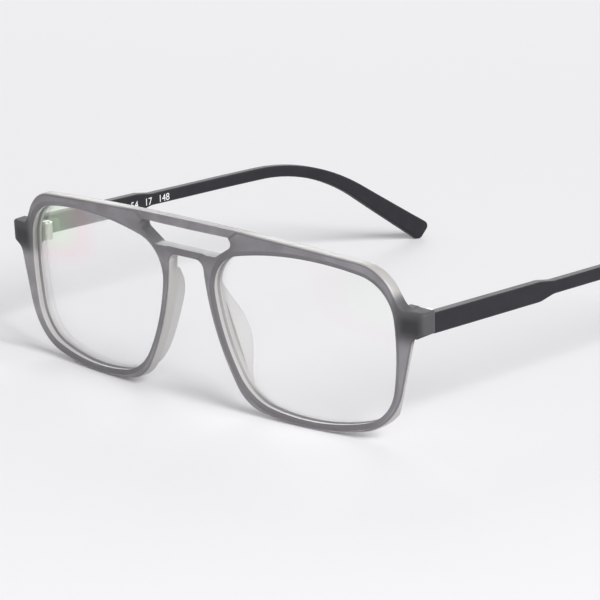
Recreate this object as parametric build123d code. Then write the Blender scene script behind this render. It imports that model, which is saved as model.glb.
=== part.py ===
from build123d import *
import os
from math import asin, cos, degrees, radians, sin, sqrt

# Square eyeglasses, standing open on the lower rims and the temple tips, in millimetres.
# X runs across the face, with the wearer's left at +X. Y runs back along the temples, and Z is up.
# The origin is on the ground, in the middle of the whole object.

# Driving dimensions of the front
FACE_RADIUS = 351.0  # curve of the front, seen from above
FRONT_LEAN = 2.6  # degrees that the brow leans away from the wearer
FRONT_DEPTH = 3.4
EDGE_ROUND = 0.7  # front edges
BACK_ROUND = 0.9  # back edges
OPENING_WIDTH = 53.0
OPENING_HEIGHT = 39.8
NOSE_GAP = 17.6  # between the two lens openings
RIM_TOP = 4.25
RIM_BOTTOM = 1.85
RIM_NASAL = 1.7
RIM_SIDE = 1.7  # at the lower outer corner
RIM_TEMPLE = 4.6  # just below the end lug
SIDE_BOW = 0.21
BEVEL_WIDTH = 1.2  # sloped edge round each opening, on the front
BEVEL_DEPTH = 0.6
BEVEL_PAST_SHARE = 0.5  # the tool that cuts the bevel reaches this much past both of its ends
OUTER_EDGE = 0.9  # flat edge of the rim in front of its sloped outer side
OUTER_SLOPE = 43.0  # degrees, of that outer side

# Lenses
LENS_FRONT = 1.4  # from the front of the rim to the lens
LENS_THICKNESS = 1.3
GROOVE_DEPTH = 0.5
GROOVE_SLOPE = 0.45  # height of each flank of the lens bevel
LENS_CLEARANCE = 0.03

# Brow bar, slot and lower bridge
BROW_BAR = 2.3
LOWER_BRIDGE = 1.9
SLOT_TOP_WIDTH = 37.0
SLOT_BOTTOM_WIDTH = 20.2
SLOT_HEIGHT = 5.2
SLOT_ROUND = 1.3
SLOT_DRAFT = 4.0  # degrees, from the parting line to each face
ARCH_WIDTH = 11.0
ARCH_ROUND = 2.4
RECESS_DEPTH = 0.5
RECESS_SLOPE = 1.3
RECESS_TOP_WIDTH = 37.0
RECESS_BOTTOM_WIDTH = 8.6
RECESS_MARGIN = 1.0

# End lugs, and the boss behind each of them
LUG_REACH = 8.0  # from the opening to the outer face
LUG_HEIGHT = 6.2
LUG_ROUND = 1.3  # front corner, seen from above
LUG_END = 9.2  # flat end that meets the temple, behind the frontmost point
LUG_UNDER_RISE = 1.0  # outer end of the lower edge, above the bottom of the boss
LUG_UNDER_DROP = 0.7  # inner end of the lower edge, below it
LUG_UNDER_SLOPE = 8.0  # degrees, of the underside behind the rim
LUG_UNDER_START = 1.0
NECK_REACH = 2.0
NECK_ROUND = 3.4
UNDER_ROUND = 2.6
BOSS_REACH = 0.6  # from the opening to the boss
BOSS_RISE = 0.2  # top of the boss, above the top of the lug's end

# Nose pads
PAD_BASE = 2.2
PAD_EDGE = 1.3
PAD_ROUND = 0.6

# Hinges
HINGE_INSET = 4.9  # pin axis, from the outer face
HINGE_BACK = 3.2  # pin axis, behind the end of the lug
KNUCKLE_RADIUS = 1.7
KNUCKLE_GAP = 0.05
HINGE_BOTTOM = 27.4
HINGE_HEIGHT = 4.4
LEAF_THICKNESS = 0.8
WEB_THICKNESS = 1.6
FRONT_LEAF_DEPTH = 3.0  # back of the embedded leaf, before the end of the lug
FRONT_LEAF_WIDTH = 4.4
FRONT_LEAF_EDGE = 2.3  # from the outer face of the lug to the leaf
TEMPLE_LEAF_LENGTH = 12.0
TEMPLE_LEAF_EDGE = 1.5  # from the outer face of the temple to the leaf
LEAF_MARGIN = 0.65  # the embedded parts stop short of the knuckles' full height
SCREW_RADIUS = 0.68
FRONT_HOLE_CLEARANCE = 0.02
TEMPLE_HOLE_CLEARANCE = 0.05
SCREW_HEAD_RADIUS = 1.1
SCREW_HEAD_HEIGHT = 0.3
SCREW_TIP = 0.2
DRIVER_WIDTH = 0.3
DRIVER_DEPTH = 0.25

# Temples
TEMPLE_LENGTH = 145.4  # front end to tip, measured straight back
TEMPLE_GAP = 0.15  # to the lug
TEMPLE_UNDER = 27.75  # underside above the ground, at the front end
TEMPLE_FRONT = 3.0  # thickness
TEMPLE_MIDDLE = 2.6
TEMPLE_TIP = 2.4
TEMPLE_STRAIGHT = 70.6  # straight length, seen from above
TEMPLE_BOW = 8.1  # inward bow behind the straight length
TEMPLE_EDGE_ROUND = 0.6
TIP_ROUND = 1.6
BEND_UNDER_RADIUS = 60.0
BEND_TOP_RADIUS = 73.0
STEP_ROUND = 8.0
POCKET_LENGTH = 5.2  # hinge pocket at the front end
HINGE_RELIEF = 0.45  # free space between the knuckles and the plastic

# Lens opening: corners as shares of its width and height, counted from its middle, then the bow
# of each side as a share of its width, and the rounding of each corner as a share of its height
CORNER_SHARES = [(-0.506, 0.389), (0.470, 0.415), (0.452, -0.388), (-0.306, -0.436)]
BOW_SHARES = [0.073, 0.039, 0.065, 0.057]
ROUND_SHARES = [0.241, 0.272, 0.285, 0.362]
# Outline of the front, as shares of the opening's size
BROW_END_SHARES = (0.438, 0.524)
BROW_END_ROUND_SHARE = 0.277
LUG_TOP_SHARE = 0.287
LOWER_BOW_SHARE = 0.063
NASAL_BOW_SHARE = 0.049
LOWER_ROUND_SHARE = 0.385
NASAL_ROUND_SHARE = 0.278
# Pad sections from the top down: height as a share of the front's height, depth behind the face
# as a share of the front's depth, and outward lean in rim widths
PAD_SHARES = [(0.70, 1.25, 0.3), (0.57, 2.05, 0.4), (0.42, 2.5, 1.3), (0.27, 2.1, 0.7), (0.12, 1.2, 0.5)]
# Temple seen from the side: distance from the front end as a share of the length, and height
# above the ground as a share of the underside's height at the front end
UNDER_SHARES = [(0.0, 1.0), (0.261, 0.971), (0.295, 1.005), (0.714, 0.959), (0.975, -0.023)]
TOP_SHARES = [(1.0, 0.133), (0.719, 1.076), (0.2975, 1.121), (0.264, 1.150), (0.0, 1.180)]

# Derived sizes
OVERRUN = 5.0
DEEP = 3 * OVERRUN
FRONT_HEIGHT = RIM_BOTTOM + OPENING_HEIGHT + RIM_TOP
OPENING_X = NOSE_GAP / 2 + OPENING_WIDTH / 2
OPENING_Z = RIM_BOTTOM + OPENING_HEIGHT / 2
OPENING_SIDE = NOSE_GAP / 2 + OPENING_WIDTH
HALF_WIDTH = OPENING_SIDE + LUG_REACH
LUG_TOP = OPENING_Z + OPENING_HEIGHT * LUG_TOP_SHARE
LUG_BOTTOM = LUG_TOP - LUG_HEIGHT
ARCH_TOP = FRONT_HEIGHT - BROW_BAR - SLOT_HEIGHT - LOWER_BRIDGE
TEMPLE_START = LUG_END + TEMPLE_GAP
HINGE_X = HALF_WIDTH - HINGE_INSET
HINGE_Y = LUG_END + HINGE_BACK
HINGE_TOP = HINGE_BOTTOM + HINGE_HEIGHT
KNUCKLE_HEIGHT = (HINGE_HEIGHT - 4 * KNUCKLE_GAP) / 5
FRONT_KNUCKLES = (0, 2, 4)
TEMPLE_KNUCKLES = (1, 3)
CORNER = (Align.MIN, Align.MIN, Align.MIN)
BARREL = (Align.CENTER, Align.CENTER, Align.MIN)
NECK = (Align.CENTER, Align.MAX, Align.MIN)


def mirrored(shape):
    """The same shape on the wearer's right."""
    return mirror(shape, about=Plane.YZ)


def face_y(x, depth=0):
    """How far back a surface at a depth behind the face lies, at a distance from the middle."""
    return FACE_RADIUS - sqrt((FACE_RADIUS - depth) ** 2 - x**2)


def drum(depth):
    """Upright cylinder of everything deeper than a depth behind the face."""
    height = FRONT_HEIGHT + 2 * OVERRUN
    upright = Cylinder(FACE_RADIUS - depth, height, align=(Align.CENTER, Align.CENTER, Align.MIN))
    return Pos(0, FACE_RADIUS, -OVERRUN) * upright


def bowed_face(points, bows, rounds):
    """Face inside bowed sides, with a rounding at each corner."""
    sides = []
    for start, end, bow in zip(points, points[1:] + points[:1], bows):
        sides.append(SagittaArc(start, end, bow) if bow else Line(start, end))
    outline = make_face(sides)
    for point, size in zip(points, rounds):
        if size:
            corner = outline.vertices().sort_by_distance((*point, 0))[0]
            outline = fillet(corner, size)
    return outline


def bar(outline, plane, ahead, behind):
    """Prism on an outline, from ahead of a plane to behind it."""
    return extrude(plane.offset(ahead) * outline, amount=-(ahead + behind))


# Lens opening, drawn about its own middle
corners = []
for across, up in CORNER_SHARES:
    corners.append((OPENING_WIDTH * across, OPENING_HEIGHT * up))
opening_bows = [OPENING_WIDTH * share for share in BOW_SHARES]
opening_rounds = [OPENING_HEIGHT * share for share in ROUND_SHARES]
opening = bowed_face(corners, opening_bows, opening_rounds)

# Outline of the front, from the middle of the brow round to the arch over the nose
brow_end_x = OPENING_X + OPENING_WIDTH * BROW_END_SHARES[0]
brow_end_z = OPENING_Z + OPENING_HEIGHT * BROW_END_SHARES[1]
lower_side = (OPENING_X + corners[2][0] + RIM_SIDE, OPENING_Z + corners[2][1] - RIM_BOTTOM)
lower_nose = (OPENING_X + corners[3][0] - RIM_NASAL, OPENING_Z + corners[3][1] - RIM_BOTTOM)
arch_corner = (ARCH_WIDTH / 2, ARCH_TOP)
outline_points = [
    (0, FRONT_HEIGHT),
    (brow_end_x, brow_end_z),
    (OPENING_SIDE + NECK_REACH, LUG_TOP),
    (HALF_WIDTH, LUG_TOP),
    (HALF_WIDTH, LUG_BOTTOM + LUG_UNDER_RISE),
    (OPENING_SIDE + RIM_TEMPLE, LUG_BOTTOM - LUG_UNDER_DROP),
    lower_side,
    lower_nose,
    arch_corner,
    (0, ARCH_TOP),
]
brow_bow = (FRONT_HEIGHT - brow_end_z) / 4
lower_bow = OPENING_WIDTH * LOWER_BOW_SHARE
nasal_bow = OPENING_WIDTH * NASAL_BOW_SHARE
outline_bows = [brow_bow, 0, 0, 0, 0, SIDE_BOW, lower_bow, nasal_bow, 0, 0]
outline_rounds = [
    0,
    OPENING_HEIGHT * BROW_END_ROUND_SHARE,
    NECK_ROUND,
    0,
    0,
    UNDER_ROUND,
    OPENING_HEIGHT * LOWER_ROUND_SHARE,
    OPENING_HEIGHT * NASAL_ROUND_SHARE,
    ARCH_ROUND,
    0,
]
half_outline = bowed_face(outline_points, outline_bows, outline_rounds)
outline = half_outline + mirrored(half_outline)

# Front seen from above: one long curve, a rounded corner at each end, then straight sides
turn_x = HALF_WIDTH - LUG_ROUND
turn_y = face_y(turn_x, LUG_ROUND)
touch_x = turn_x * FACE_RADIUS / (FACE_RADIUS - LUG_ROUND)
touch_y = face_y(touch_x)
half_turn = radians(90 - degrees(asin(touch_x / FACE_RADIUS))) / 2
turn_middle = (turn_x + LUG_ROUND * cos(half_turn), turn_y - LUG_ROUND * sin(half_turn))
plan = make_face(
    [
        ThreePointArc((-touch_x, touch_y), (0, 0), (touch_x, touch_y)),
        ThreePointArc((touch_x, touch_y), turn_middle, (HALF_WIDTH, turn_y)),
        Line((HALF_WIDTH, turn_y), (HALF_WIDTH, DEEP)),
        Line((HALF_WIDTH, DEEP), (-HALF_WIDTH, DEEP)),
        Line((-HALF_WIDTH, DEEP), (-HALF_WIDTH, turn_y)),
        ThreePointArc((-HALF_WIDTH, turn_y), (-turn_middle[0], turn_middle[1]), (-touch_x, touch_y)),
    ]
)
tall = Pos(0, 0, -OVERRUN) * extrude(plan, amount=FRONT_HEIGHT + 2 * OVERRUN)
block = bar(outline, Plane.XZ, OVERRUN, DEEP + OVERRUN) & tall


def is_front_edge(edge):
    """True for the edges round the face and along the sides of the lugs."""
    middle = edge.position_at(0.5)
    along = edge.tangent_at(0.5)
    if middle.Y > DEEP - BACK_ROUND / 2 and abs(along.Y) < 0.5:
        return False
    if abs(middle.X) > HALF_WIDTH - EDGE_ROUND / 2:
        return abs(along.Y) > 0.5
    return abs(along.Y) < 0.9 and (abs(middle.X) < turn_x or abs(along.Z) < 0.99)


def is_back_edge(edge):
    """True for the edges on the back surface of the rims."""
    for share in (0.02, 0.3, 0.7, 0.98):
        spot = edge.position_at(share)
        reach = sqrt(spot.X**2 + (spot.Y - FACE_RADIUS) ** 2)
        if abs(reach - FACE_RADIUS + FRONT_DEPTH) > LENS_CLEARANCE:
            return False
    return True


block = fillet([edge for edge in block.edges() if is_front_edge(edge)], EDGE_ROUND)
front = block - drum(FRONT_DEPTH)
front = fillet([edge for edge in front.edges() if is_back_edge(edge)], BACK_ROUND)

# Lug and boss: the full block, from a sloped underside up to the curve of the neck
under_y = face_y(OPENING_SIDE + RIM_TEMPLE) + LUG_UNDER_START
tilt = Pos(0, under_y, LUG_BOTTOM) * Rot(X=LUG_UNDER_SLOPE)
below = tilt * Box(DEEP, DEEP, OVERRUN, align=(Align.MIN, Align.MIN, Align.MAX))
boss_height = LUG_HEIGHT + BOSS_RISE
boss = Box(DEEP, DEEP, boss_height, align=CORNER)
zone = Pos(OPENING_SIDE + BOSS_REACH, 0, LUG_BOTTOM) * boss
lug = (block & zone) - Pos(OPENING_SIDE, 0, 0) * below
front = front - Pos(OPENING_SIDE + RIM_TEMPLE, 0, 0) * below
front = front - mirrored(Pos(OPENING_SIDE + RIM_TEMPLE, 0, 0) * below)
front = front + lug + mirrored(lug)

# Sloped outer side of each rim, below the lug
side_x = OPENING_SIDE + RIM_TEMPLE
side_top = Vector(side_x, face_y(side_x) + OUTER_EDGE, LUG_BOTTOM)
side_low = Vector(lower_side[0], face_y(lower_side[0]) + OUTER_EDGE, lower_side[1])
side_rise = (side_top - side_low).normalized()
inward = Vector(-sin(radians(OUTER_SLOPE)), cos(radians(OUTER_SLOPE)), 0)
outer_plane = Plane(origin=side_top, x_dir=side_rise, z_dir=inward.cross(side_rise))
outer_cut = Box(4 * DEEP, 4 * OVERRUN, DEEP, align=(Align.MAX, Align.CENTER, Align.MIN))
outer_cut = outer_plane * outer_cut
front = front - outer_cut - mirrored(outer_cut)


def nasal_x(height):
    """Edge of the rim on the nose side, at a height."""
    share = (height - lower_nose[1]) / (ARCH_TOP - lower_nose[1])
    chord = lower_nose[0] + (arch_corner[0] - lower_nose[0]) * share
    return chord - nasal_bow * 4 * share * (1 - share)


# Nose pads, moulded on the back of the rims
pad_sections = []
for height_share, depth_share, lean_share in PAD_SHARES:
    height = FRONT_HEIGHT * height_share
    edge_x = nasal_x(height)
    base_y = face_y(edge_x) + EDGE_ROUND * 2
    back_x = edge_x + RIM_NASAL * lean_share
    back_y = face_y(edge_x) + FRONT_DEPTH * depth_share
    section = Polygon(
        (edge_x, base_y),
        (edge_x + PAD_BASE, base_y),
        (back_x + PAD_EDGE, back_y),
        (back_x, back_y),
        align=None,
    )
    for point in ((back_x + PAD_EDGE, back_y, 0), (back_x, back_y, 0)):
        section = fillet(section.vertices().sort_by_distance(point)[0], PAD_ROUND)
    pad_sections.append(Pos(0, 0, height) * section)
pad = loft(pad_sections)
front = front + pad + mirrored(pad)

# Recess across both bars, with a sloped end on each side
recess_reach = RECESS_SLOPE / RECESS_DEPTH
recess_spread = (RECESS_TOP_WIDTH - RECESS_BOTTOM_WIDTH) / 2 / (FRONT_HEIGHT - ARCH_TOP)
recess_sections = []
for height in (ARCH_TOP - RECESS_MARGIN, FRONT_HEIGHT + RECESS_MARGIN):
    half_width = RECESS_BOTTOM_WIDTH / 2 + recess_spread * (height - ARCH_TOP)
    start_y = face_y(half_width)
    wide = half_width + OVERRUN * recess_reach
    narrow = half_width - RECESS_DEPTH * 2 * recess_reach
    section = Polygon(
        (-wide, start_y - OVERRUN),
        (wide, start_y - OVERRUN),
        (narrow, start_y + RECESS_DEPTH * 2),
        (-narrow, start_y + RECESS_DEPTH * 2),
        align=None,
    )
    recess_sections.append(Pos(0, 0, height) * section)
recess = loft(recess_sections, ruled=True) - drum(RECESS_DEPTH)
front = front - recess

# Slot between the bars, wider at both faces than at its parting line
slot_top = FRONT_HEIGHT - BROW_BAR
slot_points = [
    (-SLOT_TOP_WIDTH / 2, slot_top),
    (SLOT_TOP_WIDTH / 2, slot_top),
    (SLOT_BOTTOM_WIDTH / 2, slot_top - SLOT_HEIGHT),
    (-SLOT_BOTTOM_WIDTH / 2, slot_top - SLOT_HEIGHT),
]
slot_outline = bowed_face(slot_points, [0] * 4, [SLOT_ROUND] * 4)
parting_plane = Plane.XZ.offset(-FRONT_DEPTH / 2)
slot = extrude(parting_plane * slot_outline, amount=OVERRUN, taper=-SLOT_DRAFT)
slot = slot + extrude(parting_plane * slot_outline, amount=-OVERRUN, taper=-SLOT_DRAFT)
front = front - slot

# Lens openings, square to the lenses, with a sloped edge round the front of each
lens_turn = asin(OPENING_X / FACE_RADIUS)
lens_plane = Plane(
    origin=(OPENING_X, face_y(OPENING_X), OPENING_Z),
    x_dir=(cos(lens_turn), sin(lens_turn), 0),
    z_dir=(sin(lens_turn), -cos(lens_turn), 0),
)
cutter = bar(opening, lens_plane, OVERRUN, DEEP) - drum(FRONT_DEPTH + PAD_ROUND)
front = front - cutter - mirrored(cutter)

reach = 1 + BEVEL_PAST_SHARE
span = reach + BEVEL_PAST_SHARE
bevel = bar(offset(opening, BEVEL_WIDTH * reach), lens_plane, OVERRUN, DEEP)
bevel = bevel & (drum(-BEVEL_DEPTH) - drum(BEVEL_DEPTH * reach))
deep_face = bevel.faces().sort_by(SortBy.AREA)[-2:].sort_by(Axis.Y)[1]
bevel = chamfer(deep_face.edges(), BEVEL_WIDTH * span, BEVEL_DEPTH * span, reference=deep_face)
front = front - bevel - mirrored(bevel)


def lens_blank(growth):
    """Lens with a bevelled edge all round, grown by a clearance."""
    size = offset(opening, GROOVE_DEPTH + growth)
    blank = bar(size, lens_plane, OVERRUN, DEEP)
    blank = blank & (drum(LENS_FRONT - growth) - drum(LENS_FRONT + LENS_THICKNESS + growth))
    for which in (0, 1):
        large = blank.faces().sort_by(SortBy.AREA)[-2:].sort_by(Axis.Y)[which]
        blank = chamfer(large.edges(), GROOVE_DEPTH, GROOVE_SLOPE, reference=large)
    return blank


lens = lens_blank(0)
groove = lens_blank(LENS_CLEARANCE)
front = front - groove - mirrored(groove)

# Lean the brow forward and stand the front on its lower rims
lean = Rot(X=FRONT_LEAN)
drop = (lean * front).bounding_box().min.Z
stand = Pos(0, 0, -drop) * lean
front = stand * front
lens_left = stand * lens
lens_right = stand * mirrored(lens)
past_end = Pos(OPENING_SIDE, LUG_END, 0) * Box(DEEP, DEEP, 2 * FRONT_HEIGHT, align=CORNER)
front = front - past_end - mirrored(past_end)


def knuckle_places(numbers):
    """Places on the hinge axis of the barrels with these numbers, counted from the bottom."""
    heights = [HINGE_BOTTOM + number * (KNUCKLE_HEIGHT + KNUCKLE_GAP) for number in numbers]
    return [Pos(HINGE_X, HINGE_Y, height) for height in heights]


leaf_height = HINGE_HEIGHT - 2 * LEAF_MARGIN

# Front leaf: plate inside the lug, web out through its end, and three barrels
plate_x = HALF_WIDTH - FRONT_LEAF_EDGE - FRONT_LEAF_WIDTH
plate_y = LUG_END - FRONT_LEAF_DEPTH
plate = Box(FRONT_LEAF_WIDTH, LEAF_THICKNESS, leaf_height, align=CORNER)
plate = Pos(plate_x, plate_y, HINGE_BOTTOM + LEAF_MARGIN) * plate
web_end = HINGE_Y - KNUCKLE_RADIUS - HINGE_RELIEF
web = Box(WEB_THICKNESS, web_end - plate_y, leaf_height, align=(Align.CENTER, Align.MIN, Align.MIN))
web = Pos(HINGE_X, plate_y, HINGE_BOTTOM + LEAF_MARGIN) * web
anchor = plate + web
front_leaf = anchor
for place in knuckle_places(FRONT_KNUCKLES):
    front_leaf = front_leaf + place * Cylinder(KNUCKLE_RADIUS, KNUCKLE_HEIGHT, align=BARREL)
    front_leaf = front_leaf + place * Box(WEB_THICKNESS, HINGE_Y - web_end, KNUCKLE_HEIGHT, align=NECK)
screw_line = Pos(HINGE_X, HINGE_Y, HINGE_BOTTOM)
front_bore = Cylinder(SCREW_RADIUS + FRONT_HOLE_CLEARANCE, HINGE_HEIGHT, align=BARREL)
front_leaf = front_leaf - screw_line * front_bore
front = front - anchor - mirrored(anchor)

# Temple seen from the side, and seen from above
side_points = []
for along, up in UNDER_SHARES + TOP_SHARES:
    side_points.append((TEMPLE_START + TEMPLE_LENGTH * along, TEMPLE_UNDER * up))
side_rounds = [0, STEP_ROUND, STEP_ROUND, BEND_UNDER_RADIUS, TIP_ROUND]
side_rounds = side_rounds + [TIP_ROUND, BEND_TOP_RADIUS, STEP_ROUND, STEP_ROUND, 0]
side_face = bowed_face(side_points, [0] * len(side_points), side_rounds)
straight_y = TEMPLE_START + TEMPLE_STRAIGHT
tip_y = TEMPLE_START + TEMPLE_LENGTH * TOP_SHARES[0][0]
inner_drop = TEMPLE_BOW + TEMPLE_TIP - TEMPLE_MIDDLE
above_points = [
    (HALF_WIDTH, TEMPLE_START),
    (HALF_WIDTH - TEMPLE_FRONT, TEMPLE_START),
    (HALF_WIDTH - TEMPLE_MIDDLE, straight_y),
    (HALF_WIDTH - TEMPLE_BOW - TEMPLE_TIP, tip_y),
    (HALF_WIDTH - TEMPLE_BOW, tip_y),
    (HALF_WIDTH, straight_y),
]
above_face = bowed_face(above_points, [0, 0, -inner_drop / 4, 0, TEMPLE_BOW / 4, 0], [0] * 6)
temple = extrude(Plane.YZ * side_face, amount=2 * HALF_WIDTH)
temple = temple & Pos(0, 0, -OVERRUN) * extrude(above_face, amount=2 * FRONT_HEIGHT)
long_edges = [edge for edge in temple.edges() if abs(edge.tangent_at(0.5).X) < 0.5]
long_edges = [edge for edge in long_edges if edge.position_at(0.5).Y > TEMPLE_START + EDGE_ROUND]
temple = fillet(long_edges, TEMPLE_EDGE_ROUND)
temple = Pos(0, 0, -temple.bounding_box().min.Z) * temple

# Hinge pocket at the front end, on the inner side
pocket_x = HINGE_X + KNUCKLE_RADIUS + HINGE_RELIEF
pocket = Box(DEEP, POCKET_LENGTH + OVERRUN, 2 * FRONT_HEIGHT, align=(Align.MAX, Align.MIN, Align.MIN))
temple = temple - Pos(pocket_x, TEMPLE_START - OVERRUN, 0) * pocket

# Temple leaf: plate let into the temple, and two barrels
leaf_x = HALF_WIDTH - TEMPLE_LEAF_EDGE - LEAF_THICKNESS
leaf_end = TEMPLE_START + POCKET_LENGTH + TEMPLE_LEAF_LENGTH
tongue = Box(LEAF_THICKNESS, leaf_end - HINGE_Y, leaf_height, align=CORNER)
tongue = Pos(leaf_x, HINGE_Y, HINGE_BOTTOM + LEAF_MARGIN) * tongue
temple_leaf = tongue
for place in knuckle_places(TEMPLE_KNUCKLES):
    temple_leaf = temple_leaf + place * Cylinder(KNUCKLE_RADIUS, KNUCKLE_HEIGHT, align=BARREL)
    width = leaf_x + LEAF_THICKNESS - HINGE_X
    temple_leaf = temple_leaf + place * Box(width, KNUCKLE_RADIUS, KNUCKLE_HEIGHT, align=CORNER)
temple = temple - temple_leaf
temple_bore = Cylinder(SCREW_RADIUS + TEMPLE_HOLE_CLEARANCE, HINGE_HEIGHT, align=BARREL)
temple_leaf = temple_leaf - screw_line * temple_bore

# Hinge screw, with a driver slot in its head
screw = Pos(HINGE_X, HINGE_Y, HINGE_BOTTOM - SCREW_TIP) * Cylinder(
    SCREW_RADIUS, HINGE_HEIGHT + SCREW_TIP, align=BARREL
)
head_place = Pos(HINGE_X, HINGE_Y, HINGE_TOP)
screw = screw + head_place * Cylinder(SCREW_HEAD_RADIUS, SCREW_HEAD_HEIGHT, align=BARREL)
driver = Box(2 * SCREW_HEAD_RADIUS, DRIVER_WIDTH, DRIVER_DEPTH, align=(Align.CENTER, Align.CENTER, Align.MAX))
screw = screw - Pos(HINGE_X, HINGE_Y, HINGE_TOP + SCREW_HEAD_HEIGHT) * driver

nodes = {
    "front_frame": front,
    "lens_left": lens_left,
    "lens_right": lens_right,
    "temple_left": temple,
    "temple_right": mirrored(temple),
    "front_hinge_left": front_leaf,
    "front_hinge_right": mirrored(front_leaf),
    "temple_hinge_left": temple_leaf,
    "temple_hinge_right": mirrored(temple_leaf),
    "hinge_screw_left": screw,
    "hinge_screw_right": mirrored(screw),
}
front_end = front.bounding_box().min.Y
back_end = temple.bounding_box().max.Y
to_middle = Pos(0, -(front_end + back_end) / 2, 0)
os.makedirs("parts", exist_ok=True)
for name, shape in nodes.items():
    export_step(to_middle * shape, "parts/" + name + ".step")
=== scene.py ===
# %% [markdown]
# Square eyeglasses with a frosted grey front and matt black temples.
#
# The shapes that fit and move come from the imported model: the moulded front, two lenses, two
# temples, the hinge leaves and their screws. This lesson gives each of them its finish, adds the
# small print inside one temple, and sets the light and the camera. All lengths are in metres.
# The wearer looks along -Y, so Y runs back along the temples, and X is 0 in the middle.

# %% Load the model
import math

import bpy
from mathutils import Matrix, Vector


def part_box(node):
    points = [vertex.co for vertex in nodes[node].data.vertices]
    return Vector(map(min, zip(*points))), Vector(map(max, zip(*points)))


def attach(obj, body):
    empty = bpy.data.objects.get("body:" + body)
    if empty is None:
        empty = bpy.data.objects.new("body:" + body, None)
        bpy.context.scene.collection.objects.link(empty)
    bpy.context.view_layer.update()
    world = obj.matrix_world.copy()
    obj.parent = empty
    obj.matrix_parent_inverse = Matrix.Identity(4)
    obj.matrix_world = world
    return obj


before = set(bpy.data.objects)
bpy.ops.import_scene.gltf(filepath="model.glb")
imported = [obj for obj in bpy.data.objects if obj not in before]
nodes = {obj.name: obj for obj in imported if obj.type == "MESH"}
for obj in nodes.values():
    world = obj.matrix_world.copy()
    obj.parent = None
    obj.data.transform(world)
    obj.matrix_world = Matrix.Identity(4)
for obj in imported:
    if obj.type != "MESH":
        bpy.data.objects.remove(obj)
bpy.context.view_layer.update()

MM = 0.001
scene = bpy.context.scene
print("pieces of the model:", ", ".join(sorted(nodes)))

# %% [markdown]
# A finish on a real moulding is never one flat colour. It is cloudy, its gloss changes, and its
# grain is a few thousandths of a millimetre high. Each of those is a small sum on noise. The
# nodes could be joined one by one, but a sum is easier to read as plain Python. So a class wraps
# a socket: an expression on it adds the Math nodes, and its methods add the nodes that turn a
# value into a smooth step or a colour.

# %% A socket that takes part in sums
# The Mix node has sockets for each type of data. These are its sockets for colours.
MIX_SHARE, MIX_FIRST, MIX_SECOND, MIX_RESULT = 0, 6, 7, 2


class Wire:
    """An output socket. What is done with it adds nodes to its shading."""

    def __init__(self, shading, socket):
        self.shading = shading
        self.socket = socket

    def sum(self, operation, first, second=0.0):
        settings = {"operation": operation}
        return self.shading.node("ShaderNodeMath", settings, {0: first, 1: second})

    def __add__(self, other):
        return self.sum("ADD", self, other)

    def __radd__(self, other):
        return self.sum("ADD", other, self)

    def __sub__(self, other):
        return self.sum("SUBTRACT", self, other)

    def __rsub__(self, other):
        return self.sum("SUBTRACT", other, self)

    def __mul__(self, other):
        return self.sum("MULTIPLY", self, other)

    def __rmul__(self, other):
        return self.sum("MULTIPLY", other, self)

    def __abs__(self):
        return self.sum("ABSOLUTE", self)

    def rise(self, start, end):
        """0 where the value is at the start and 1 where it is at the end, smooth between."""
        settings = {"interpolation_type": "SMOOTHSTEP"}
        values = {"Value": self, "From Min": start, "From Max": end}
        return self.shading.node("ShaderNodeMapRange", settings, values)

    def ramp(self, *stops):
        """A colour for the value, from stops of a value and a colour."""
        return self.shading.node("ShaderNodeValToRGB", {"stops": stops}, {"Fac": self})

    def toward(self, colour, share):
        """This colour, turned into another one by a share."""
        values = {MIX_FIRST: self, MIX_SECOND: (*colour, 1.0), MIX_SHARE: share}
        return self.shading.node("ShaderNodeMix", {"data_type": "RGBA"}, values, MIX_RESULT)


print("a socket can be added, multiplied, stepped and coloured")

# %% [markdown]
# Every other node comes from one method, which takes the node's type, its settings and the
# values or links of its inputs. Patterns read Object coordinates, so they are as large on the
# piece as they are written here, and stay in place when it moves.

# %% Nodes for a material or the sky
class Shading:
    """A node tree, and the nodes that are added to it."""

    def __init__(self, tree):
        self.tree = tree

    def node(self, kind, settings=None, values=None, output=0):
        """Adds a node, sets it up, fills or links its inputs, and gives one of its outputs."""
        made = self.tree.nodes.new(kind)
        for name, value in (settings or {}).items():
            if name == "stops":
                self.set_stops(made.color_ramp, value)
            else:
                setattr(made, name, value)
        for key, value in (values or {}).items():
            self.feed(made.inputs[key], value)
        return Wire(self, made.outputs[output])

    def set_stops(self, ramp, stops):
        while len(ramp.elements) < len(stops):
            ramp.elements.new(1.0)
        for element, (place, colour) in zip(ramp.elements, stops):
            element.position = place
            element.color = (*colour, 1.0)

    def feed(self, socket, value):
        if isinstance(value, Wire):
            self.tree.links.new(value.socket, socket)
        else:
            socket.default_value = value

    def place(self):
        return self.node("ShaderNodeTexCoord", output="Object")

    def axes(self):
        """The three coordinates of a point in the piece."""
        place = {"Vector": self.place()}
        return [self.node("ShaderNodeSeparateXYZ", {}, place, axis) for axis in "XYZ"]

    def facing(self, *direction):
        """1 where the surface faces along a direction or against it, 0 where it lies along it."""
        turned = self.node("ShaderNodeTexCoord", output="Normal")
        values = {0: turned, 1: direction}
        settings = {"operation": "DOT_PRODUCT"}
        return abs(self.node("ShaderNodeVectorMath", settings, values, "Value"))

    def noise(self, size, detail=2.0, stretch=(1.0, 1.0, 1.0)):
        """Noise from 0 to 1 with blotches of about this size; stretch draws them out."""
        scale = [1 / (size * along) for along in stretch]
        spread = self.node("ShaderNodeMapping", {}, {"Vector": self.place(), "Scale": scale})
        values = {"Vector": spread, "Scale": 1.0, "Detail": detail}
        return self.node("ShaderNodeTexNoise", {}, values)


print("a shading has nodes for place, direction and noise")

# %% [markdown]
# A finish is a material that the pieces of the model wear. Its fine grain is bump and not
# geometry, because it is far smaller than a triangle.

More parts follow.
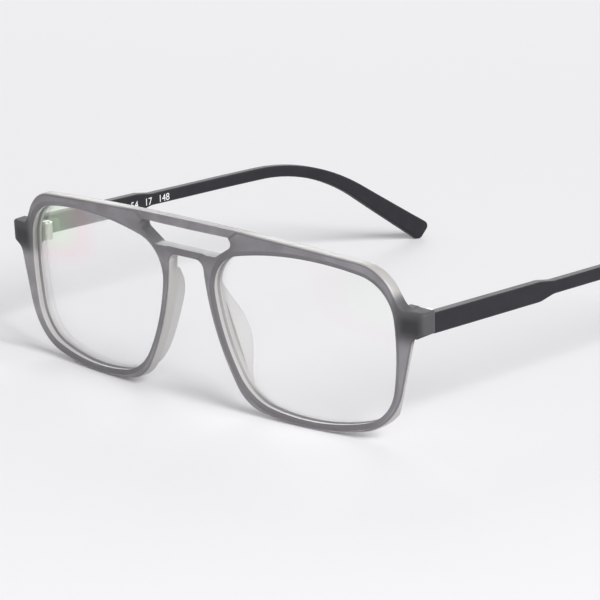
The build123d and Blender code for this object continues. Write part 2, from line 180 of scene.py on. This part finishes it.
# %% A finish that pieces wear
class Finish(Shading):
    """A material with one surface shader."""

    def __init__(self, name):
        self.material = bpy.data.materials.new(name)
        self.material.use_nodes = True
        super().__init__(self.material.node_tree)
        self.surface = self.tree.nodes["Principled BSDF"]

    def set(self, **values):
        """Sets or links inputs of the surface shader; an underscore stands for a space."""
        for name, value in values.items():
            self.feed(self.surface.inputs[name.replace("_", " ")], value)

    def clouded(self, dark, light, size, detail=2.0, start=0.3, end=0.7):
        """A colour that drifts between two, with blotches of about this size."""
        return self.noise(size, detail).ramp((start, dark), (end, light))

    def grain(self, size, depth, stretch=(1.0, 1.0, 1.0)):
        """Fine bumps of this size and depth."""
        values = {"Height": self.noise(size, 1.0, stretch), "Distance": depth}
        self.set(Normal=self.node("ShaderNodeBump", {}, values))

    def wear(self, *names):
        """Puts this finish on pieces of the model."""
        for name in names:
            piece = nodes[name]
            piece.data.materials.clear()
            piece.data.materials.append(self.material)
        print(self.material.name, "is on", ", ".join(names))


# %% [markdown]
# The front is injection-moulded in a clear plastic with a little grey dye, then tumbled or
# etched, so that its skin is frosted. Light goes in, scatters and comes out again. The dye is in
# the whole depth, so the look of a spot follows from how much plastic lies behind it.
#
# - The nose pads are thin and stand free, so light comes through them. That light is painted into
#   their colour, which is almost white.
# - The sides of the rims get painted light, paler than their faces, for the light that comes out
#   there after going in through the face. Along the rounding between face and side the light is
#   bent away, which a painted shade shows as a darker line.
# - The double bridge is thick and shades itself, so its faces and edges get painted shade.
# - Inside each lug sits the metal leaf of the hinge, which keeps light from coming through, so
#   the lugs get the darkest painted shade, most of all right over the leaf.
#
# Tracing light through the cloudy plastic would show all this too, but slowly, and an exported
# model would lose it. So this light and shade is painted into the base colour, read from where
# a point lies in the piece and which way its surface turns, on both halves alike.

# %% Zones of the front
# A zone is a list of edges: what is measured, where the zone starts, and where it is complete.
# "aside" is the distance from the middle, "back" the place along Y, "up" the height over the
# ground, and "turned" is 1 on the face and 0 on the sides.
front_low, front_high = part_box("front_frame")
leaf_low, leaf_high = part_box("front_hinge_left")

# Where the thin nose pads get painted light.
PADS = [
    ("back", front_low.y + 3.9 * MM, front_low.y + 5.6 * MM),
    ("aside", 20 * MM, 17 * MM),
]
# Where the lugs get painted shade, from the hinge leaf inside keeping light out.
LUGS = [
    ("aside", front_high.x - 9.3 * MM, front_high.x - 6.8 * MM),
    ("up", leaf_low.z - 3.4 * MM, leaf_low.z + 0.1 * MM),
    ("up", leaf_high.z + 6.7 * MM, leaf_high.z + 3.7 * MM),
]
# Where the darkest painted shade lies, right over the leaf.
LEAVES = [
    ("aside", leaf_low.x - 1.3 * MM, leaf_low.x + 0.9 * MM),
    ("aside", leaf_high.x + 1.7 * MM, leaf_high.x - 0.1 * MM),
    ("up", leaf_low.z - 1.4 * MM, leaf_low.z + 1.4 * MM),
    ("up", leaf_high.z + 1.2 * MM, leaf_high.z - 1.4 * MM),
]
# Where the thick bridge gets painted shade.
BRIDGE = [
    ("aside", 24 * MM, 13 * MM),
    ("up", 34 * MM, 38 * MM),
    ("up", 44 * MM, 42 * MM),
]
# Where the edges of the bridge and its slot get painted shade.
BRIDGE_EDGES = [
    ("aside", 27 * MM, 14 * MM),
    ("up", 37 * MM, 38 * MM),
    ("turned", 0.95, 0.8),
]
# Where the rounding between face and side gets a painted dark line of shade.
ROUNDINGS = [("turned", 0.985, 0.90)]
# Where the sides of the rims get painted light.
SIDES = [("turned", 0.88, 0.5)]


def inside(zone, measured, strength=1.0):
    """The strength in a zone and 0 outside it, smooth between."""
    share = strength
    for name, start, end in zone:
        share = share * measured[name].rise(start, end)
    return share


print("leaf of the hinge, sideways:", [round(end.x / MM, 1) for end in (leaf_low, leaf_high)])

# %% Frosted grey plastic
GREY = (0.255, 0.242, 0.260)
GREY_LIGHT = (0.41, 0.395, 0.415)
# Painted shade on the thick bridge.
BRIDGE_PAINTED_SHADE = (0.185, 0.177, 0.188)
# Painted shade along the roundings.
ROUNDING_PAINTED_SHADE = (0.185, 0.176, 0.192)
# Painted light on the sides of the rims, for light that went in through the face.
SIDE_PAINTED_LIGHT = (0.64, 0.63, 0.61)
# Painted shade on the edges of the bridge.
BRIDGE_EDGE_PAINTED_SHADE = (0.21, 0.205, 0.215)
# Painted light on the thin nose pads, for the light that comes through them.
PAD_PAINTED_LIGHT = (0.70, 0.69, 0.68)
# Painted shade in the lugs.
LUG_PAINTED_SHADE = (0.115, 0.112, 0.122)
# Darkest painted shade, right over the hinge leaf.
LEAF_PAINTED_SHADE = (0.045, 0.044, 0.050)
# How strong the painted shade on the bridge is.
BRIDGE_SHADE_STRENGTH = 0.7
FROST = 0.28
FROST_DRIFT = 0.12
LUG_FROST = 0.3

frosted = Finish("frosted grey plastic")
across, back, up = frosted.axes()
turned = frosted.facing(0, 1, 0)
measured = {"aside": abs(across), "back": back, "up": up, "turned": turned}
in_lug = inside(LUGS, measured)

# The grey drifts at random. Then painted shade and painted light are mixed in, zone by zone:
# shade on the bridge, the roundings, the bridge's edges, the lugs and over the leaves, and light
# on the sides and the pads.
grey = frosted.clouded(GREY, GREY_LIGHT, size=6 * MM, detail=3.0)
grey = grey.toward(BRIDGE_PAINTED_SHADE, inside(BRIDGE, measured, BRIDGE_SHADE_STRENGTH))
grey = grey.toward(ROUNDING_PAINTED_SHADE, inside(ROUNDINGS, measured))
grey = grey.toward(SIDE_PAINTED_LIGHT, inside(SIDES, measured))
grey = grey.toward(BRIDGE_EDGE_PAINTED_SHADE, inside(BRIDGE_EDGES, measured))
grey = grey.toward(PAD_PAINTED_LIGHT, inside(PADS, measured))
grey = grey.toward(LUG_PAINTED_SHADE, in_lug)
grey = grey.toward(LEAF_PAINTED_SHADE, inside(LEAVES, measured))
frosted.set(
    Base_Color=grey,
    Roughness=FROST + FROST_DRIFT * frosted.noise(size=1.5 * MM) + LUG_FROST * in_lug,
    Transmission_Weight=0.5,
    IOR=1.49,
)
frosted.grain(size=0.12 * MM, depth=0.004 * MM)
frosted.wear("front_frame")

# %% [markdown]
# The temples are the same kind of moulding in opaque black, with a fine matt texture from the
# spark-eroded mould. A bare dark colour would look like paint. The eye knows matt plastic by its
# wide soft highlight, so what matters is the gloss, which drifts a little where hands polish it.

# %% Matt black plastic
BLACK = (0.006, 0.0055, 0.009)
BLACK_LIGHT = (0.010, 0.0095, 0.013)
MATT = 0.44
MATT_DRIFT = 0.12

matt = Finish("matt black plastic")
matt.set(
    Base_Color=matt.clouded(BLACK, BLACK_LIGHT, size=4 * MM, detail=3.0),
    Roughness=MATT + MATT_DRIFT * matt.noise(size=9 * MM, detail=3.0),
    IOR=1.40,
)
matt.grain(size=0.10 * MM, depth=0.006 * MM)
matt.wear("temple_left", "temple_right")

# %% [markdown]
# A hinge leaf is pressed and milled from nickel silver and tumbled bright. The lines of the
# milling run along the barrels. They could be cut as grooves, but they are finer than a hair, so
# the noise of the bump is drawn out upwards instead.

# %% Nickel silver
NICKEL = (0.62, 0.60, 0.56)
NICKEL_LIGHT = (0.78, 0.76, 0.72)
TUMBLED = 0.32
TUMBLED_DRIFT = 0.16

nickel = Finish("tumbled nickel silver")
nickel.set(
    Base_Color=nickel.clouded(NICKEL, NICKEL_LIGHT, size=0.8 * MM),
    Metallic=1.0,
    Roughness=TUMBLED + TUMBLED_DRIFT * nickel.noise(size=0.5 * MM),
)
nickel.grain(size=0.06 * MM, depth=0.004 * MM, stretch=(1.0, 1.0, 12.0))
nickel.wear("front_hinge_left", "front_hinge_right", "temple_hinge_left", "temple_hinge_right")

# %% [markdown]
# The screws are turned from steel, so their fine lines run round them. Noise that is drawn out
# level in both directions gives such lines on the round sides.

# %% Turned steel
STEEL = (0.62, 0.62, 0.61)
STEEL_LIGHT = (0.74, 0.74, 0.72)
TURNING = 0.36
TURNING_DRIFT = 0.12

steel = Finish("turned steel")
steel.set(
    Base_Color=steel.clouded(STEEL, STEEL_LIGHT, size=0.5 * MM),
    Metallic=1.0,
    Roughness=TURNING + TURNING_DRIFT * steel.noise(size=0.3 * MM),
)
steel.grain(size=0.05 * MM, depth=0.003 * MM, stretch=(10.0, 10.0, 1.0))
steel.wear("hinge_screw_left", "hinge_screw_right")

# %% [markdown]
# A lens is a clear shell with a thin coating. The film is never quite even, so its reflections
# turn rose and then green towards the upper outer corner. A glass shader would refract every ray
# twice to show almost nothing, because the shell has the same curve on both sides. A mirror with
# a low alpha shows what matters: a pale veil of reflection over what lies behind. Each of the
# two sides adds its own share, and the edge in the groove has none. For rays from lamps the veil
# is thinner, because a lens casts almost no shadow.

# %% Coated clear lenses
VEIL = 0.08
SLANT_VEIL = 0.35
SLANT_BLEND = 0.25
SHADOW_VEIL = 0.04
GLOSS = 0.05
CLEAR = (0.97, 0.98, 0.98)
ROSE = (1.0, 0.86, 0.87)
GREEN = (0.87, 1.0, 0.81)
# Where the film's colours start and are complete: across the lens, up it, and how much they
# wander. The last pair tells the lens's faces from its edge, by the way that they turn.
FILM_ASIDE = (26 * MM, 60 * MM)
FILM_UP = (19 * MM, 34 * MM)
FILM_DRIFT = 0.15
LENS_FACE = (0.85, 0.93)

coated = Finish("coated clear lens")
across, back, up = coated.axes()
film = abs(across).rise(*FILM_ASIDE) * up.rise(*FILM_UP)
film = film + FILM_DRIFT * (coated.noise(size=12 * MM, detail=1.0) - 0.5)
slant = coated.node("ShaderNodeLayerWeight", {}, {"Blend": SLANT_BLEND}, output="Fresnel")
veil = (VEIL + SLANT_VEIL * slant) * coated.facing(0, 1, 0).rise(*LENS_FACE)
lamp_ray = coated.node("ShaderNodeLightPath", output="Is Shadow Ray")
coated.set(
    Base_Color=film.ramp((0.15, CLEAR), (0.45, ROSE), (0.8, GREEN)),
    Metallic=1.0,
    Roughness=GLOSS,
    Alpha=veil * (1 - lamp_ray) + SHADOW_VEIL * lamp_ray,
)
coated.wear("lens_left", "lens_right")

# %% [markdown]
# Frames carry their sizes inside one temple: lens width, bridge and temple length, in
# millimetres. They are pad-printed, a film of white ink a few hundredths thick. Text is the
# quickest way to such figures, and a real film looks right from every side, where a painted
# pattern would need a picture. The text is made a mesh first, so that its place lies in the mesh.

# %% Text as a mesh
CAPITAL_SHARE = 0.72  # of the font's size
CURVE_STEPS = 4


def printed(name, words, height, depth, corner, along, up):
    """Thin printed figures with their lower left corner at a place, as a mesh in place."""
    curve = bpy.data.curves.new(name, "FONT")
    curve.body = words
    curve.size = height / CAPITAL_SHARE
    curve.extrude = depth / 2
    curve.resolution_u = CURVE_STEPS
    holder = bpy.data.objects.new(name + "_text", curve)
    scene.collection.objects.link(holder)
    bpy.context.view_layer.update()
    mesh = bpy.data.meshes.new_from_object(holder)
    bpy.data.objects.remove(holder)
    mesh.name = name
    out = along.cross(up)
    turn = Matrix((along, up, out)).transposed().to_4x4()
    mesh.transform(Matrix.Translation(corner) @ turn)
    piece = bpy.data.objects.new(name, mesh)
    scene.collection.objects.link(piece)
    print(name, "has", len(mesh.polygons), "faces")
    return piece


# %% Printed sizes
FIGURES = "54   17   148"
FIGURE_HEIGHT = 2.0 * MM
INK_DEPTH = 0.03 * MM
INK = (0.62, 0.62, 0.63)
INK_LIGHT = (0.78, 0.78, 0.79)
INK_MATT = 0.5
INK_DRIFT = 0.2
# The start of the figures, from the temple's outer face, its front end and the ground, and how
# much the temple's inner face leans outwards along its length.
PRINT_IN = 2.8 * MM
PRINT_BACK = 35 * MM
PRINT_UP = 28.4 * MM
TEMPLE_LEAN = 0.0057

low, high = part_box("temple_right")
print_start = Vector((low.x + PRINT_IN, low.y + PRINT_BACK, PRINT_UP))
along = Vector((-TEMPLE_LEAN, 1, 0)).normalized()
upright = Vector((0, 0, 1))
figures = printed(
    "printed_sizes", FIGURES, FIGURE_HEIGHT, INK_DEPTH, print_start, along, upright
)
ink = Finish("white ink")
ink.set(
    Base_Color=ink.clouded(INK, INK_LIGHT, size=0.4 * MM, start=0.2),
    Roughness=INK_MATT + INK_DRIFT * ink.noise(size=0.2 * MM),
)
figures.data.materials.append(ink.material)
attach(figures, "temple_right")

# %% [markdown]
# The floor is pale and plain. The lamps and the sky together light it so that its colour comes
# out as it is written, and the object's shadow stays on it.

# %% Floor
FLOOR_COLOUR = (0.845, 0.84, 0.86)
FLOOR_HALF = 6.0

floor_mesh = bpy.data.meshes.new("floor")
corners = [(-1, -1, 0), (1, -1, 0), (1, 1, 0), (-1, 1, 0)]
floor_mesh.from_pydata([Vector(corner) * FLOOR_HALF for corner in corners], [], [(0, 1, 2, 3)])
floor = bpy.data.objects.new("floor", floor_mesh)
scene.collection.objects.link(floor)
paper = Finish("pale floor")
paper.set(Base_Color=(*FLOOR_COLOUR, 1.0), Roughness=0.9, Specular_IOR_Level=0.1)
floor_mesh.materials.append(paper.material)
print("floor:", 2 * FLOOR_HALF, "m wide")

# %% [markdown]
# A photographer's white walls look bright and yet light the object softly. One even sky can't do
# both, so it is pale where it is seen, mirrored or looked at through something, and dimmer for
# the light that it gives.

# %% Sky
SKY_COLOUR = (0.89, 0.885, 0.905)
SKY_LIGHT = 0.34
SKY_SEEN = 0.95

world = bpy.data.worlds.new("sky")
scene.world = world
world.use_nodes = True
sky = Shading(world.node_tree)
seen = 0.0
for ray in ("Is Camera Ray", "Is Glossy Ray", "Is Transmission Ray"):
    seen = seen + sky.node("ShaderNodeLightPath", output=ray)
background = sky.tree.nodes["Background"].inputs
sky.feed(background["Color"], (*SKY_COLOUR, 1.0))
sky.feed(background["Strength"], SKY_LIGHT + (SKY_SEEN - SKY_LIGHT) * seen.rise(0.0, 1.0))
print("sky: gives", SKY_LIGHT, "and shows", SKY_SEEN)

# %% [markdown]
# The light comes through a large window on the wearer's left, which a sun with a wide disc
# stands for. A square lamp behind draws the pale line along the tops of the brow bar and the
# temples. A small one at the side brings up the face of the front, which the window only grazes.

# %% Lamps
def lit(name, kind, energy):
    """A lamp and the object that carries it."""
    lamp = bpy.data.lights.new(name, kind)
    lamp.energy = energy
    holder = bpy.data.objects.new(name, lamp)
    scene.collection.objects.link(holder)
    return lamp, holder


def softbox(name, place, target, size, power):
    """A square lamp that faces a target."""
    lamp, holder = lit(name, "AREA", power)
    lamp.shape = "SQUARE"
    lamp.size = size
    holder.location = place
    holder.rotation_euler = (target - place).to_track_quat("-Z", "Y").to_euler()


def sunlight(name, direction, spread, strength):
    """A far lamp with a soft edge; the direction points to the lamp."""
    lamp, holder = lit(name, "SUN", strength)
    lamp.angle = math.radians(spread)
    holder.rotation_euler = direction.to_track_quat("Z", "Y").to_euler()


middle = Vector((0, 0, 0.02))
to_window = Vector((1.0, -0.12, 0.72))
above_behind = Vector((-1.5, 1.7, 1.1))
beside_face = Vector((0.55, -0.45, 0.35))
sunlight("window", to_window, spread=30, strength=2.75)
softbox("back lamp", above_behind, middle, size=1.4, power=16.0)
softbox("side lamp", beside_face, middle, size=0.4, power=1.7)

# %% [markdown]
# The camera stands where the photographer did: half to the wearer's left, a little above, and
# far away with a long lens. Its place and its three axes were worked out from the outlines of
# the lens openings, which is surer than turning it by eye.

# %% Camera
CAMERA_PLACE = Vector((0.545998, -0.60938, 0.239367))
CAMERA_RIGHT = Vector((0.72652, 0.68686, -0.01993))
CAMERA_UP = Vector((-0.17207, 0.20994, 0.96245))
CAMERA_BACK = Vector((0.66526, -0.69581, 0.27071))
FOCAL_PIXELS = 3300
FRAME_PIXELS = 600
SENSOR = 36.0
NEAREST = 0.01

lens = bpy.data.cameras.new("camera")
lens.sensor_width = SENSOR
lens.lens = SENSOR * FOCAL_PIXELS / FRAME_PIXELS
lens.clip_start = NEAREST
camera = bpy.data.objects.new("camera", lens)
scene.collection.objects.link(camera)
turn = Matrix((CAMERA_RIGHT, CAMERA_UP, CAMERA_BACK)).transposed().to_4x4()
camera.matrix_world = Matrix.Translation(CAMERA_PLACE) @ turn
scene.camera = camera
scene.view_settings.view_transform = "Standard"
print("focal length:", round(lens.lens), "mm")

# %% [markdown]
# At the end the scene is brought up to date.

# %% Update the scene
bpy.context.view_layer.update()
